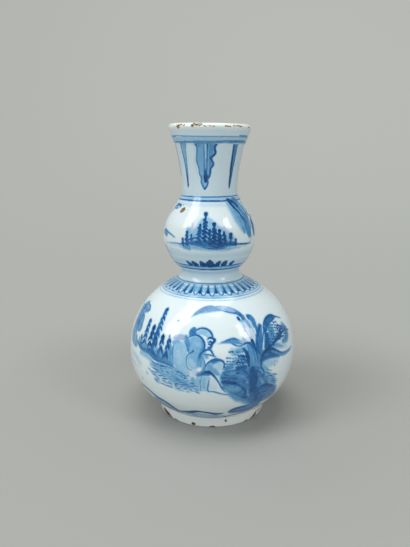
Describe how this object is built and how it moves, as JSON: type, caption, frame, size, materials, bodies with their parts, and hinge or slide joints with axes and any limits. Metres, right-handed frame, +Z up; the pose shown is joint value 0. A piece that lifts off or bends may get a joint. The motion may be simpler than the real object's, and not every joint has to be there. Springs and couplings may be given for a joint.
{
  "type": "double-gourd vase",
  "caption": "Double-gourd vase with a trumpet neck, a collared lip and a low foot ring, built of thrown sections luted together, in blue and white tin-glazed earthenware.",
  "frame": {"origin": "centre of the foot ring's standing face", "axes": "+Z up along the axis that the vase is turned about; the pictured side faces -Y and +X is to its right"},
  "size_m": [0.1178, 0.1178, 0.2],
  "materials": {
    "foot_glaze": "glossy tin glaze with small chips to the buff body",
    "lower_bulb_glaze": "glossy tin glaze painted in cobalt blue",
    "waist_glaze": "glossy plain tin glaze",
    "upper_bulb_glaze": "glossy tin glaze painted in cobalt blue",
    "neck_glaze": "glossy tin glaze painted in cobalt blue",
    "lip_glaze": "glossy tin glaze with a painted border, worn to the buff body at the lip"
  },
  "bodies": {
    "root": {"foot_ring": "foot_glaze", "lower_bulb": "lower_bulb_glaze", "waist_collar": "waist_glaze", "upper_bulb": "upper_bulb_glaze", "neck": "neck_glaze", "lip_collar": "lip_glaze"}
  },
  "joints": []
}
